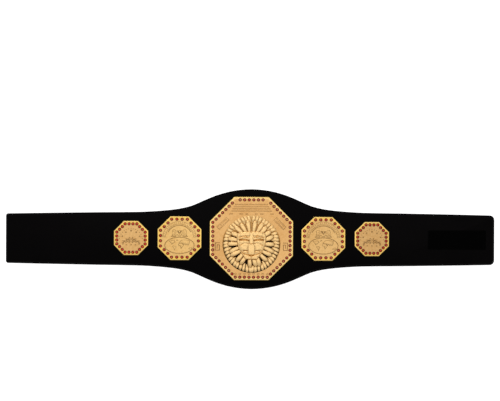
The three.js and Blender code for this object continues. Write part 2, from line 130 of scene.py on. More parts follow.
# The rings of a cut stone in millimetres: sides, radius, height and turn in shares of a side.
STONE_RINGS = {
    "culet": (8, 1.2, -0.6, 0),
    "girdle foot": (16, 3.3, -0.05, 0),
    "girdle": (16, 3.3, 0.1, 0),
    "crown": (8, 2.6, 0.58, 0.5),
    "table": (8, 1.8, 0.95, 0),
}
SEAT = {"floor": 3.4 * MM, "mouth": 4.3 * MM, "depth": 0.75 * MM, "sides": 24, "spare": 0.3 * MM}

# Low relief on the plates, in millimetres from a plate's middle
# How far forms rise, how deep they start in the plate, and how wide their slopes are over a foot.
RELIEF = {"full": 0.75, "low": 0.4, "faint": 0.14, "sunk": 0.3, "slope": 0.7, "foot": 0.05}
TOP_PANEL = {
    "low": 68.5, "high": 91.5, "half_low": 57, "half_high": 44, "inset": 3, "reeds": 4, "reed": 2.6,
    "breaks": 5, "pitch": 16, "gap": 1.2, "lean": 0.45,
}
SIDE_PANEL = {
    "x": 74, "y": 39, "turn": -45, "length": 36, "width": 11, "inset": 2.5, "reeds": 2, "reed": 1.8,
}
DASHES = {"y": 63.8, "height": 2, "row": [(12, 7), (27, 9), (53, 9)]}
KEY = {
    "x": 88.5, "y": -21, "band": 1.7,
    "route": [
        (-5.4, 9.6), (5.4, 9.6), (5.4, -9.6), (-5.4, -9.6), (-5.4, 4.4), (0.6, 4.4), (0.6, -4.4),
    ],
}
LOZENGES = {"count": 8, "spacing": 11.9, "y": -92, "across": 4.2, "up": 2.4}
GLOBE = {"y": -18.5, "across": 39, "up": 22, "rim": 1.9, "overlap": 2}
MAP = {"per_longitude": 0.222, "per_latitude": 0.22, "y": -20.5, "narrows_at": 95}
LANDS = {
    "north_america": [(-165, 62), (-128, 48), (-83, 9), (-96, 28), (-80, 27), (-56, 50), (-95, 71)],
    "south_america": [(-78, 8), (-50, 2), (-36, -7), (-58, -38), (-68, -54), (-71, -18), (-81, -4)],
    "greenland": [(-45, 60), (-22, 72), (-58, 78)],
    "africa": [(-16, 15), (-8, 34), (32, 30), (51, 10), (20, -34), (8, 4), (-8, 5)],
    "eurasia": [
        (-9, 38), (8, 57), (28, 71), (105, 76), (170, 67), (121, 30), (104, 8), (88, 22), (78, 9),
        (66, 25), (48, 14), (35, 34),
    ],
    "australia": [(114, -22), (142, -11), (153, -27), (147, -38), (115, -34)],
}
RIBBON = {"inner": 36.5, "outer": 44, "from": 4, "to": 176}
BAND_STEPS = 36
NOTCHES = {"count": 24, "from": 10, "to": 170, "inner": 38.9, "outer": 41.6}
INNER_ARC = {"radius": 33.6, "from": 28, "to": 152}
# Right half of the bird, from its head down to its tail, and what is modelled on it.
BIRD_HALF = [
    (0, 20.5), (2.4, 19.3), (2.9, 16.6), (6.5, 18.6), (11.5, 22.4), (16.4, 22.6), (18.3, 19),
    (18, 12), (20.2, 5.6), (14, 8.6), (9, 6.6), (5.6, 9.2), (3.4, 5),
]
BIRD_RISE = 0.45
FEATHERS = [
    {"x": 5.5, "y": 12.2, "turn": 52, "length": 9.5, "width": 3},
    {"x": 7.5, "y": 11.6, "turn": 38, "length": 11, "width": 3},
    {"x": 9, "y": 10.4, "turn": 20, "length": 8.8, "width": 2.8},
    {"x": 10.5, "y": 9.2, "turn": -2, "length": 8, "width": 2.4},
]
TAIL = {"x": 0, "y": 10, "turn": -90, "length": 5, "width": 3}
BREAST = {"half": 4.4, "rise": 4, "marks": [(0, 15.6), (0, 14), (0, 12.4), (0, 10.8)]}
UNDER_WING = [(9.2, 5), (21, 4.4)]
STARS = {
    "count": 5, "arch": 25, "from": 25, "to": 155, "y": -6, "points": 5, "outer": 2.9, "inner": 1.3,
}
DOTS = {"count": 15, "arch": 30.5, "from": 8, "to": 172, "radius": 0.95, "sides": 10}
SPRAYS = {"leaves": 5, "start": (3, -1), "end": (23, -13), "lean": 38}
LEAF = {"length": 8, "width": 3.4}
LEAF_EDGE = [(0, 0), (0.18, -0.62), (0.45, -1), (0.78, -0.56), (1, 0)]
BEADS = {"count": 3, "spacing": 12, "y": -17.5, "radius": 1.7, "sides": 20}
# A knot of leaves where the sprays meet, each from its root in a direction.
KNOT = [(1.2, -4, 58), (1.6, -6.4, -62), (3.4, -8.4, -8)]
# How wide a fine raised line is. Its sides meet in a narrow ridge.
LINE = 1.7

# Screws and closure
SCREW_HEAD = {"height": 1.25 * MM, "round": 0.35 * MM, "sides": 40}
SCREW_SHANK = {"radius": 3 * MM, "short": 0.2 * MM, "sides": 24}
SCREW_SLOT = {"width": 1.4 * MM, "depth": 0.6 * MM}
PATCH_BORDER = 2.5 * MM
# A tile of loops, and how far the tape under them and their middles lie below the patch's top.
PILE_TILE = {"size": 11.25 * MM, "loops": 8, "over_tape": 0.7 * MM, "over_middles": 0.85 * MM}
# One loop, where in its cell it stands, and how far it sinks and leans.
YARN = {
    "radius": 0.75 * MM, "thickness": 0.16 * MM, "places": (0.2, 0.8), "sink": 0.35 * MM, "lean": 0.7,
}
HOOKS = {"pitch": 2.1 * MM, "stagger": 0.3, "radius": 0.16 * MM, "backing": 0.45 * MM}
# The steps of a hook from its root to its tip, in millimetres.
HOOK_ROUTE = [(0, 0, -0.45), (0.1, 0, -0.2), (0.25, 0, -0.05), (0.15, 0, 0.15)]

# Lion mask, in millimetres from its middle, with heights above the plate's face
MANE_PAIRS = 11
SHORT_LOCKS = 48
MANE_BASE = {"radius": 75, "height": 0.9, "sides": 88}
LOCK_SIDES = 8
LOCK_LEVELS = 2
LOCK_SINK = 0.5
LOCK_SQUARENESS = 2.1
# How far the locks sway to a side at their tips, and by what else they differ. Leans are in degrees.
LOCK_SWAYS = (-4.5, -1, 4)
SHORT_SWAYS = (-2.8, 2.8)
LONG_SPREAD = {"length": (0.96, 1.0), "lean": 1.2}
SHORT_SPREAD = {"place": 0.1, "width": (0.9, 1.06), "length": (0.98, 1)}
PARTING_LEAN = -1.6
# Sections of a lock from its root to its tip: how far along and across from the middle line of its
# pair, half its width and its height.
LONG_LOCK = [
    (24, 3.5, 2.9, 6.4),
    (34, 4.8, 4.1, 7.2),
    (43, 6.2, 5.6, 8.0),
    (50, 7.4, 6.6, 8.0),
    (55.5, 8, 6.1, 7.2),
    (60, 8.3, 4.2, 6.2),
    (62, 8.3, 1.9, 4.8),
]
SHORT_LOCK = [
    (52, 0, 2.2, 1.9),
    (58.5, 0, 3.7, 2.8),
    (64, 0, 4.5, 4.7),
    (70, 0, 4.5, 4.6),
    (74.8, 0, 3.5, 3.2),
]
# Where patina and painted shade darken the mask: on its disc, and below what is round a point,
# in the hollows where patina lies and shade falls. Then the shares of it that are left from the
# bottom up, on the whole mask and on its rim, a painted shade that deepens towards the bottom as if
# lit from the top, how far from the middle the rim begins, and the share that is left on the face.
PATINA_AND_SHADE = {"extent": 80, "cell": 0.75, "reach": 4, "from": 0.4, "depth": 1.15, "over_disc": 0.2}
SHADE_SHARES = [(-74, 1), (0, 1), (18, 0.85), (34, 0.38), (74, 0.32)]
SHADE_ON_RIM = [(-60, 1), (-30, 0.8), (20, 0.7)]
RIM_FROM = (68, 72)
PATINA_AND_SHADE_ON_FACE = {"x": 40, "y": 40, "middle": -4, "share": 0.5, "ends": (0.88, 1.02)}
# The face's edge from its top down, as half widths and how far up they are, and how the face rises.
FACE_EDGE = [
    (0, 34.4), (14, 34.4), (27, 33.4), (35, 31), (39.4, 26.6), (40.6, 17), (39.6, 8), (38, -1),
    (35.6, -10), (31.6, -19), (26.6, -27), (22, -33), (19, -39), (15, -42), (0, -42.5),
]
FACE_DOME = {"rim": 8, "top": 10, "reach": 46, "round": 4.4, "below": -3}
FACE_GRID = 0.46
FACE_DEPTH = 12
# A cube that stands on the plate's face and is larger than the mask.
KEPT_BLOCK = 200
# What stands out of the face: half its width, how far its sides slope, its rise, and the line that
# it follows on one side. The other side is the same.
FACE_FORMS = {
    "forehead": (7.5, 6, 1.2, [(8, 26), (26, 25)]),
    "temple": (4.5, 4, 0.7, [(33, 23), (34, 14)]),
    "brow": (3, 2.4, 1.5, [(14, 18.2), (18, 18), (30, 14.8)]),
    "frown": (2.6, 2.4, 0.9, [(14.6, 18.4), (15.6, 18.2)]),
    "bridge": (5.8, 2.4, 1.4, [(0, 12), (0, 4)]),
    "lower lid": (3.6, 3.2, 0.6, [(10, 5.2), (28, 5.4)]),
    "nose": (6, 2.4, 1.5, [(3.4, -6), (3.4, -23)]),
    "lobe": (3.6, 3.4, 0.4, [(4.4, -15), (4.4, -25)]),
    "muzzle": (8, 7, 1.3, [(17, -8), (16, -12.5)]),
    "cheek": (8, 7, 1, [(27, 1), (25, -12)]),
    "eyeball": (3, 2.4, 0.4, [(15, 10.4), (22, 10.6)]),
    "lip": (2.6, 2.1, 1.6, [(12, -21.4), (20, -21.2)]),
    "chin": (5, 2.8, 2, [(3.6, -35.4), (14, -35.4)]),
}
# Lines that are carved into the face, given in the same way.
FACE_LINES = {
    "parting": (3, 1.6, -4.5, [(0, 38), (0, 32)]),
    "parting foot": (1.1, 1.1, -1, [(0, 31), (5, 31)]),
    "corner dot": (1.3, 1.3, -1, [(30, 26.2), (30.4, 26.8)]),
    "brow edge": (1.3, 1.3, -1.1, [
        (34, 17.6), (22, 18.4), (18.4, 20.8), (15.6, 22.6), (12.8, 20.4), (10.4, 16.6), (8, 15.6),
        (6, 18), (4.8, 22.4),
    ]),
    "eye": (2.7, 2.1, -2.6, [(7.4, 9.4), (12, 10.4), (22, 11), (30.4, 10.6)]),
    "under the eye": (0.8, 0.8, -0.5, [(12, 2.2), (29, 1)]),
    "nose fold": (1, 1, -1.7, [(0, 0.8), (9.8, 0.8)]),
    "bridge edge": (0.8, 0.8, -0.5, [(6, 10), (6.2, 4), (10.8, 1)]),
    "nose edge": (0.9, 0.9, -0.3, [(9.8, -3), (9.8, -27)]),
    "nose middle": (0.8, 0.8, -0.3, [(0, -21), (0, -30)]),
    "mouth": (1.2, 1.1, -2, [(10, -17.4), (21.5, -17.6)]),
    "jaw edge": (1.8, 1.8, -1.5, [(0, -30.4), (9, -28.4), (17, -26.4), (23.5, -22.6), (27, -17)]),
    "cheek leaf": (1.8, 1.3, -1.3, [(22.8, 0), (30, -3.6)]),
    "cheek fold": (0.8, 0.8, -0.6, [(32, -7), (29.5, -14), (27, -17)]),
    "muzzle fold": (0.8, 0.8, -0.6, [(27, -7.5), (25.6, -12.5), (22.5, -17.6)]),
    "chin middle": (0.8, 0.8, -0.4, [(0, -31), (0, -42)]),
}


def only(*objects):
    """Selects these objects and nothing else. The first one becomes active."""
    bpy.ops.object.select_all(action="DESELECT")
    for obj in objects:
        obj.select_set(True)
    bpy.context.view_layer.objects.active = objects[0]


@contextmanager
def editing(obj, mode="FACE", whole=False):
    """Edit mode on one object, with all of it selected or nothing."""
    only(obj)
    bpy.ops.object.mode_set(mode="EDIT")
    bpy.ops.mesh.select_mode(type=mode)
    bpy.ops.mesh.select_all(action="SELECT" if whole else "DESELECT")
    yield
    bpy.ops.object.mode_set(mode="OBJECT")


def pick(obj, kind, test):
    """Selects the faces, edges or verts that pass a test, in edit mode."""
    bpy.ops.mesh.select_all(action="DESELECT")
    mesh = bmesh.from_edit_mesh(obj.data)
    for item in getattr(mesh, kind):
        if test(item):
            item.select_set(True)
    mesh.select_flush_mode()
    bmesh.update_edit_mesh(obj.data)


def pick_edges_at(obj, z):
    """Selects the edges that lie at a height."""
    pick(obj, "edges", lambda e: all(abs(v.co.z - z) < TOLERANCE for v in e.verts))


def added(name):
    """The primitive that was just added, under its name and with its place in its mesh."""
    obj = bpy.context.active_object
    obj.name = name
    only(obj)
    bpy.ops.object.transform_apply(location=True, rotation=True, scale=True)
    return obj


def finished_by(obj, kind, **settings):
    """Puts a modifier on an object and applies it."""
    modifier = obj.modifiers.new(kind.title(), kind)
    for key, value in settings.items():
        setattr(modifier, key, value)
    only(obj)
    bpy.ops.object.modifier_apply(modifier=modifier.name)
    return obj


def repeated(obj, step, **settings):
    """Puts copies of a piece at equal steps into its own mesh."""
    settings |= {"use_relative_offset": False, "use_constant_offset": True}
    finished_by(obj, "ARRAY", constant_offset_displace=step, **settings)


def smoothed(obj, degrees):
    """Smooth shading, apart from the edges that turn by more than an angle."""
    only(obj)
    bpy.ops.object.shade_smooth_by_angle(angle=math.radians(degrees))


def joined(name, objects):
    """Joins objects into the first one, which gets a new name."""
    only(*objects)
    if len(objects) > 1:
        bpy.ops.object.join()
    objects[0].name = name
    return objects[0]


def copied(obj, move):
    """A copy with its own mesh, whose points are moved."""
    other = obj.copy()
    other.data = obj.data.copy()
    other.data.transform(move)
    bpy.context.scene.collection.objects.link(other)
    return other


def points_of(obj):
    """Where an object's points are in millimetres, as a row for each of x, y and z."""
    points = np.empty(3 * len(obj.data.vertices), "f")
    obj.data.vertices.foreach_get("co", points)
    return points.reshape(-1, 3).T / MM


def boolean(obj, other, operation):
    """Joins another solid to an object, or cuts it away. The other one is used up."""
    finished_by(obj, "BOOLEAN", solver="MANIFOLD", operation=operation, object=other)
    bpy.data.objects.remove(other)
    return obj


def outward(obj):
    """Turns all faces of a closed shape outwards."""
    with editing(obj, whole=True):
        bpy.ops.mesh.normals_make_consistent(inside=False)


def merged_copy(node, name):
    """A CAD node's shape as a new object, with its loose triangles merged."""
    obj = bpy.data.objects.new(name, frame["nodes"][node].data.copy())
    obj.data.materials.clear()
    bpy.context.scene.collection.objects.link(obj)
    with editing(obj, whole=True):
        bpy.ops.mesh.remove_doubles(threshold=TOLERANCE)
    return obj


def middle(node):
    low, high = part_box(node)
    return (low + high) / 2


class Value:
    """A number in a material. Arithmetic on it adds Math nodes."""

    def __init__(self, finish, socket):
        self.finish = finish
        self.socket = socket

    def maths(self, operation, *operands):
        return self.finish.add("ShaderNodeMath", {"operation": operation}, dict(enumerate(operands)))

    def __add__(self, other):
        return self.maths("ADD", self, other)

    def __sub__(self, other):
        return self.maths("SUBTRACT", self, other)

    def __rsub__(self, other):
        return self.maths("SUBTRACT", other, self)

    def __mul__(self, other):
        return self.maths("MULTIPLY", self, other)

    __radd__ = __add__
    __rmul__ = __mul__


class Finish:
    """A material on a Principled shader."""

    def __init__(self, name, **sockets):
        self.material = bpy.data.materials.new(name)
        self.material.use_nodes = True
        self.tree = self.material.node_tree
        self.shader = self.tree.nodes["Principled BSDF"]
        self.drive(**sockets)

    def add(self, kind, settings, inputs, output=0):
        """Adds a node with its settings and the values of its sockets, and gives one output."""
        node = self.tree.nodes.new(kind)
        for key, value in settings.items():
            setattr(node, key, value)
        for key, value in inputs.items():
            self.feed(node.inputs[key], value)
        return Value(self, node.outputs[output])

    def feed(self, socket, value):
        if isinstance(value, Value):
            self.tree.links.new(value.socket, socket)
        else:
            socket.default_value = value

    def drive(self, **sockets):
        """Gives the shader's sockets constants or what changes over the surface."""
        for key, value in sockets.items():
            self.feed(self.shader.inputs[key.replace("_", " ").title().replace("Ior", "IOR")], value)

    def place(self):
        return self.add("ShaderNodeTexCoord", {}, {}, "Object")

    def noise(self, scale, detail=2, roughness=0.5):
        inputs = {"Vector": self.place(), "Scale": scale, "Detail": detail, "Roughness": roughness}
        return self.add("ShaderNodeTexNoise", {}, inputs)

    def cracks(self, scale):
        """How far a point is from the nearest edge between cells."""
        settings = {"feature": "DISTANCE_TO_EDGE"}
        return self.add("ShaderNodeTexVoronoi", settings, {"Vector": self.place(), "Scale": scale})

    def spread(self, value, low, high):
        """Maps a range of values to 0 to 1 with soft ends, and holds it there."""
        settings = {"interpolation_type": "SMOOTHSTEP"}
        return self.add("ShaderNodeMapRange", settings, {0: value, 1: low, 2: high})

    def mix(self, share, first, second):
        """A colour between two colours."""
        inputs = {0: share, 6: first, 7: second}
        return self.add("ShaderNodeMix", {"data_type": "RGBA"}, inputs, 2)

    def attribute(self, name):
        return self.add("ShaderNodeAttribute", {"attribute_name": name}, {}, "Fac")

    def bump(self, height, depth, strength=1.0):
        inputs = {"Height": height, "Distance": depth, "Strength": strength}
        self.drive(normal=self.add("ShaderNodeBump", {}, inputs, "Normal"))


def mottled(name, scale, detail, deep, pale, **sockets):
    """A finish whose colour wanders between two colours, and the noise that it follows."""
    finish = Finish(name, **sockets)
    noise = finish.noise(scale, detail)
    finish.drive(base_color=finish.mix(noise, (*deep, 1), (*pale, 1)))
    return finish, noise


def black_leather():
    finish = Finish("black_leather", specular_ior_level=0.03)
    creases = finish.spread(finish.cracks(850), 0, 0.22)
    cloud = finish.noise(14, 4)
    fine = finish.noise(2600, 2)
    finish.drive(
        base_color=finish.mix(cloud, (0.001, 0.0007, 0.0008, 1), (0.0024, 0.0018, 0.002, 1)),
        roughness=0.5 + 0.16 * cloud - 0.08 * creases,
    )
    finish.bump(creases + 0.25 * fine, 0.11 * MM, 0.7)
    return finish.material


def black_thread():
    colours = (0.004, 0.004, 0.004), (0.012, 0.011, 0.012)
    finish, fibre = mottled("black_thread", 3000, 2, *colours, roughness=0.7, specular_ior_level=0.15)
    finish.bump(fibre, 0.08 * MM)
    return finish.material


def satin_gold(node):
    """A plate's field, which turns brighter and yellower towards the edge."""
    finish = Finish(node + "_satin_gold", metallic=1)
    look = PLATES[node]
    broad = finish.spread(finish.noise(7, 2), 0.35, 0.65)
    cloud = finish.noise(16, 3)
    mottle = finish.spread(0.7 * finish.noise(190, 4, 0.6) + 0.3 * cloud, 0.36, 0.64)
    blast = finish.noise(2400, 2)
    golds = (0.69, 0.37, 0.125), (0.93, 0.56, 0.225)
    # Each plate's gold; the right plates are darker, a painted shade.
    deep, pale = ((*(a * b for a, b in zip(look["shade"], gold)), 1) for gold in golds)
    field = finish.mix(0.75 * mottle + 0.25 * broad, deep, pale)
    border = finish.spread(finish.attribute("border"), look["from"], 0.9) * (0.8 + 0.2 * mottle)
    finish.drive(
        base_color=finish.mix(border, field, look["border"]),
        roughness=0.36 + 0.12 * mottle + 0.06 * blast - 0.06 * border,
    )
    finish.bump(mottle + 0.4 * blast, 0.12 * MM, 0.6)
    return finish.material


def cast_gold():
    """Satin gold with patina and painted shade in its grooves. The painted shade thins towards the top
    of the mask, as if lit from there.
    """
    finish = Finish("cast_gold", metallic=1)
    cloud = finish.noise(30, 3)
    mottle = finish.noise(260, 4, 0.6)
    blast = finish.noise(1800, 2)
    patina_and_shade = finish.attribute("patina_and_shade")
    tone = finish.mix(0.5 * cloud + 0.5 * mottle, (0.93, 0.56, 0.22, 1), (1, 0.72, 0.34, 1))
    # Patina and painted shade: golden brown where it is light, near black where it is deep.
    tone = finish.mix(finish.spread(patina_and_shade, 0, 0.55), tone, (0.42, 0.19, 0.03, 1))
    finish.drive(
        base_color=finish.mix(finish.spread(patina_and_shade, 0.5, 1), tone, (0.012, 0.006, 0.003, 1)),
        roughness=0.3 + 0.1 * cloud + 0.06 * blast + 0.25 * patina_and_shade,
    )
    finish.bump(mottle + 0.5 * blast, 0.14 * MM, 0.6)
    return finish.material


def polished_gold():
    colours = (0.98, 0.64, 0.17), (1, 0.73, 0.25)
    finish, wipe = mottled("polished_gold", 180, 3, *colours, metallic=1)
    finish.drive(roughness=0.2 + 0.12 * wipe)
    return finish.material


def dark_gold():
    """A dark gold on the sloping sides of the raised relief, which outlines each form."""
    colours = (0.18, 0.08, 0.022), (0.32, 0.16, 0.05)
    finish, wipe = mottled("dark_gold", 300, 3, *colours, metallic=1)
    finish.drive(roughness=0.5 + 0.2 * wipe)
    return finish.material


def seat_shade():
    """The dark ring round each stone: a painted shade in its seat, where the stone's shadow falls."""
    colours = (0.07, 0.022, 0.008), (0.16, 0.06, 0.016)
    finish, wipe = mottled("seat_shade", 500, 3, *colours, metallic=1)
    finish.drive(roughness=0.5 + 0.2 * wipe)
    return finish.material


def red_glass():
    """Facets from a deep red to a pale one, a painted sparkle, with painted highlights on the tables
    where the light comes back out of the stone.
    """
    finish = Finish("red_glass", roughness=0.06, ior=1.5, specular_ior_level=0.25)
    tone = finish.attribute("facet_light")
    red = finish.mix(finish.spread(tone, 0, 0.7), (0.12, 0.003, 0.002, 1), (0.8, 0.045, 0.015, 1))
    finish.drive(base_color=finish.mix(finish.spread(tone, 0.7, 1), red, (0.84, 0.42, 0.23, 1)))
    return finish.material


def loop_pile():
    colours = (0.0004, 0.0004, 0.0004), (0.002, 0.002, 0.002)
    finish, pile = mottled("loop_pile", 1500, 3, *colours, roughness=0.95, specular_ior_level=0.01)
    finish.bump(pile, 0.5 * MM)
    return finish.material


def hook_tape():
    colours = (0.003, 0.003, 0.003), (0.012, 0.012, 0.012)
    finish, _ = mottled("hook_tape", 900, 2, *colours, roughness=0.6, specular_ior_level=0.3)
    return finish.material


def screw_metal():
    colours = (0.6, 0.46, 0.25), (0.74, 0.6, 0.36)
    finish, scuff = mottled("screw_metal", 700, 4, *colours, metallic=1)
    finish.drive(roughness=0.25 + 0.2 * scuff)
    return finish.material


def pale_floor():
    colours = (0.9, 0.9, 0.9), (0.92, 0.92, 0.92)
    finish, _ = mottled("pale_floor", 3, 2, *colours, roughness=0.8, specular_ior_level=0.1)
    finish.drive(emission_color=(1, 1, 1, 1), emission_strength=0.7)
    return finish.material


LEATHER = black_leather()
THREAD = black_thread()
CAST = cast_gold()
POLISHED = polished_gold()
DARK_GOLD = dark_gold()
SEAT_SHADE = seat_shade()
GLASS = red_glass()
SCREW = screw_metal()
PILE = loop_pile()
TAPE = hook_tape()


def shown(obj, slot, *materials, replaces=()):
    """Makes a piece part of the belt: its finish, the body that it rides on and what it stands for."""
    obj.data.materials.clear()
    for material in materials:
        obj.data.materials.append(material)
    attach(obj, "root")
    if replaces:
        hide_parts(*replaces)


def paint(obj, index, test):
    """Gives the faces that pass a test another of the object's materials."""
    for face in obj.data.polygons:
        if test(face):
            face.material_index = index


# Strap

def largest_cap(obj, side):
    """Selects the widest face that looks up, for side 1, or down, for side -1."""
    mesh = bmesh.from_edit_mesh(obj.data)
    caps = (face for face in mesh.faces if face.normal.z * side > FLAT)
    centre = max(caps, key=lambda face: face.calc_area()).calc_center_median()
    pick(obj, "faces", lambda f: f.calc_center_median() == centre)


def strap_blank():
    """The strap's outline as a wall, capped by one face on each side."""
    obj = merged_copy("strap", "strap_leather")
    low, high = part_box("strap")
    with editing(obj):
        pick(obj, "faces", lambda f: abs(f.normal.z) > FLAT)
        bpy.ops.mesh.delete(type="FACE")
    with editing(obj, "VERT"):
        pick(obj, "verts", lambda v: v.co.x > high.x - TOLERANCE)
        bpy.ops.mesh.select_linked()
        bpy.ops.mesh.select_all(action="INVERT")
        bpy.ops.mesh.delete(type="VERT")
    for z in (low.z, high.z):
        with editing(obj, "EDGE"):
            pick_edges_at(obj, z)
            bpy.ops.mesh.edge_face_add()
    outward(obj)
    return obj


def strap():
    """The leather, with rounded edges and a pressed channel for its seam, and the seam's routes."""
    obj = strap_blank()
    with editing(obj, "EDGE"):
        pick(obj, "edges", lambda e: abs(e.verts[0].co.z - e.verts[1].co.z) < TOLERANCE)
        bpy.ops.mesh.bevel(offset=STRAP_EDGE_ROUND, segments=3, affect="EDGES")
    half = SEAM["width"] / 2
    routes = []
    for side in (1, -1):
        with editing(obj):
            largest_cap(obj, side)
            bpy.ops.mesh.inset(thickness=SEAM["inset"] - half - STRAP_EDGE_ROUND, depth=0)
            bpy.ops.mesh.inset(thickness=SEAM["wall"], depth=-SEAM["depth"])
            bpy.ops.mesh.inset(thickness=half, depth=0)
            bpy.ops.mesh.duplicate()
            bpy.ops.mesh.separate(type="SELECTED")
            largest_cap(obj, side)
            bpy.ops.mesh.inset(thickness=half, depth=0)
            bpy.ops.mesh.inset(thickness=SEAM["wall"], depth=SEAM["depth"])
        route = next(o for o in bpy.context.selected_objects if o is not obj)
        route.name = "seam_route"
        routes.append(route)
    finished_by(obj, "WELD", merge_threshold=TOLERANCE / 2)
    smoothed(obj, degrees=35)
    shown(obj, "strap_leather", LEATHER, replaces=["strap"])
    return routes


def seam(name, route):
    """A row of thread stitches, laid along the route."""
    with editing(route, whole=True):
        bpy.ops.mesh.delete(type="ONLY_FACE")
    only(route)
    bpy.ops.object.convert(target="CURVE")
    route.data.twist_mode = "Z_UP"
    bpy.ops.mesh.primitive_uv_sphere_add(segments=8, ring_count=6, rotation=(0, math.pi / 2, 0))
    stitch = added(name)
    half = STITCH["half_width"]
    stitch.data.transform(Matrix.Diagonal((STITCH["half_length"], half, half, 1)))
    repeated(stitch, (STITCH["pitch"], 0, 0), fit_type="FIT_CURVE", curve=route)
    finished_by(stitch, "CURVE", object=route, deform_axis="POS_X")
    bpy.data.objects.remove(route)
    only(stitch)
    bpy.ops.object.shade_smooth()
    shown(stitch, "strap_leather", THREAD)


# Plates and stones

def octagon(width):
    radius = width / 2 / math.cos(EIGHTH / 2)
    turns = [(i + 0.5) * EIGHTH for i in range(8)]
    return [Vector((radius * math.cos(a), radius * math.sin(a), 0)) for a in turns]


def octagon_reach(point):
    """How far it is from the middle to the sides of the octagon that passes through a point."""
    return max(point.x * math.cos(i * EIGHTH) + point.y * math.sin(i * EIGHTH) for i in range(8))


def face_height(node):
    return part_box(node)[1].z - STONE_RISE


def stone_places(node):
    """Where a plate's stones are set, on its face."""
    low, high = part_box(node)
    centre = Vector((*middle(node).xy, face_height(node)))
    corners = octagon(high.x - low.x - 2 * STONE_INSET)
    look = PLATES[node]
    places = []
    for i, corner in enumerate(corners):
        following = corners[(i + 1) % 8]
        for n in range(1 if i in look["bare"] else 0, look["stones"]):
            places.append(centre + corner.lerp(following, n / look["stones"]))
    return places


def seat_cutter(places):
    """Conical seats, drilled with one tool at each stone's place."""
    depth, spare = SEAT["depth"], SEAT["spare"]
    grow = (SEAT["mouth"] - SEAT["floor"]) * spare / depth
    bpy.ops.mesh.primitive_cone_add(
        vertices=SEAT["sides"],
        radius1=SEAT["floor"],
        radius2=SEAT["mouth"] + grow,
        depth=depth + spare,
    )
    drill = added("seat_drill")
    drill.data.transform(Matrix.Translation((0, 0, (spare - depth) / 2)))
    cuts = [copied(drill, Matrix.Translation(place)) for place in places]
    bpy.data.objects.remove(drill)
    return joined("seat_drills", cuts)


def raised(outline, rise=RELIEF["full"]):
    """A form that stands up from z 0 with sloping sides. Its outline runs anticlockwise."""
    bpy.ops.mesh.primitive_circle_add(vertices=len(outline), fill_type="NGON")
    form = added("relief")
    for vertex, point in zip(form.data.vertices, outline):
        vertex.co = Vector((*point, 0)) * MM
    foot = RELIEF["foot"] * MM
    with editing(form, whole=True):
        bpy.ops.mesh.extrude_region_move(TRANSFORM_OT_translate={"value": (0, 0, foot)})
        bpy.ops.mesh.inset(thickness=RELIEF["slope"] * MM, depth=rise * MM - foot)
    for vertex in form.data.vertices[:len(outline)]:
        vertex.co.z = -RELIEF["sunk"] * MM
    outward(form)
    return form


def ellipse(x, y, across, up, sides):
    turns = [2 * math.pi * (i + 0.5) / sides for i in range(sides)]
    return [(x + across * math.cos(a), y + up * math.sin(a)) for a in turns]


def arc(radius, start, end, steps):
    turns = [math.radians(start + (end - start) * i / steps) for i in range(steps + 1)]
    return [(radius * math.cos(a), radius * math.sin(a)) for a in turns]


def band(across, up, width, start, end, y=0):
    """Part of an elliptical ring, from its outer edge inwards."""
    outer = arc(1, start, end, BAND_STEPS)
    inner = [((across - width) * u, y + (up - width) * v) for u, v in reversed(outer)]
    return [(across * u, y + up * v) for u, v in outer] + inner


def bar(start, end, width):
    """A straight bar, with square ends half its width beyond two points."""
    start, end = Vector(start), Vector(end)
    along = (end - start).normalized() * width / 2
    aside = Vector((-along.y, along.x))
    start, end = start - along, end + along
    return [start - aside, end - aside, end + aside, start + aside]


def line(points, width=LINE):
    return [bar(start, end, width) for start, end in zip(points, points[1:])]


def moved(outline, x, y, degrees=0):
    turn = Matrix.Rotation(math.radians(degrees), 2)
    return [turn @ Vector(point) + Vector((x, y)) for point in outline]


def mirrored(outline):
    return [(-x, y) for x, y in reversed(outline)]


def both_ways(outlines):
    outlines = list(outlines)
    return outlines + [mirrored(outline) for outline in outlines]


def anticlockwise(outline):
    following = outline[1:] + outline[:1]
    area = sum(x0 * y1 - x1 * y0 for (x0, y0), (x1, y1) in zip(outline, following))
    return outline if area > 0 else outline[::-1]


def spaced(count, pitch):
    """Places at equal steps in a row that has its middle at 0."""
    return [(i - (count - 1) / 2) * pitch for i in range(count)]


def leaf(x, y, turn, length=LEAF["length"], width=LEAF["width"]):
    """A pointed leaf that grows from a point in a direction."""
    edge = LEAF_EDGE + [(along, -side) for along, side in reversed(LEAF_EDGE[1:-1])]
    return moved([(along * length, side * width / 2) for along, side in edge], x, y, turn)


def top_panel():
    """A panel that narrows upwards, and rows of reeds on it that slanting gaps break."""
    low, high, inset, reed = (TOP_PANEL[key] for key in ("low", "high", "inset", "reed"))
    halves = TOP_PANEL["half_low"], TOP_PANEL["half_high"]
    gap = TOP_PANEL["gap"]
    margin = (gap + reed) / 2
    reeds = []
    for i in range(TOP_PANEL["reeds"]):
        y = low + inset + (high - low - 2 * inset) * i / (TOP_PANEL["reeds"] - 1)
        end = float(np.interp(y, (low, high), halves)) - inset + gap / 2
        shift = TOP_PANEL["lean"] * (y - (low + high) / 2)
        breaks = [x + shift for x in spaced(TOP_PANEL["breaks"], TOP_PANEL["pitch"])]
        ends = [-end, *breaks, end]
        reeds += [bar((a + margin, y), (b - margin, y), reed) for a, b in zip(ends, ends[1:])]
    panel = [(-halves[0], low), (halves[0], low), (halves[1], high), (-halves[1], high)]
    return [panel], reeds


def side_panels():
    """A small slanting panel beside each upper edge, with its own reeds."""
    length, width, inset, reed = (SIDE_PANEL[key] for key in ("length", "width", "inset", "reed"))
    place = SIDE_PANEL["x"], SIDE_PANEL["y"], SIDE_PANEL["turn"]
    half = (length - width) / 2
    reach = (length - reed) / 2 - inset
    asides = spaced(SIDE_PANEL["reeds"], (width - inset) / SIDE_PANEL["reeds"])
    reeds = [moved(bar((-reach, aside), (reach, aside), reed), *place) for aside in asides]
    return both_ways([moved(bar((-half, 0), (half, 0), width), *place)]), both_ways(reeds)


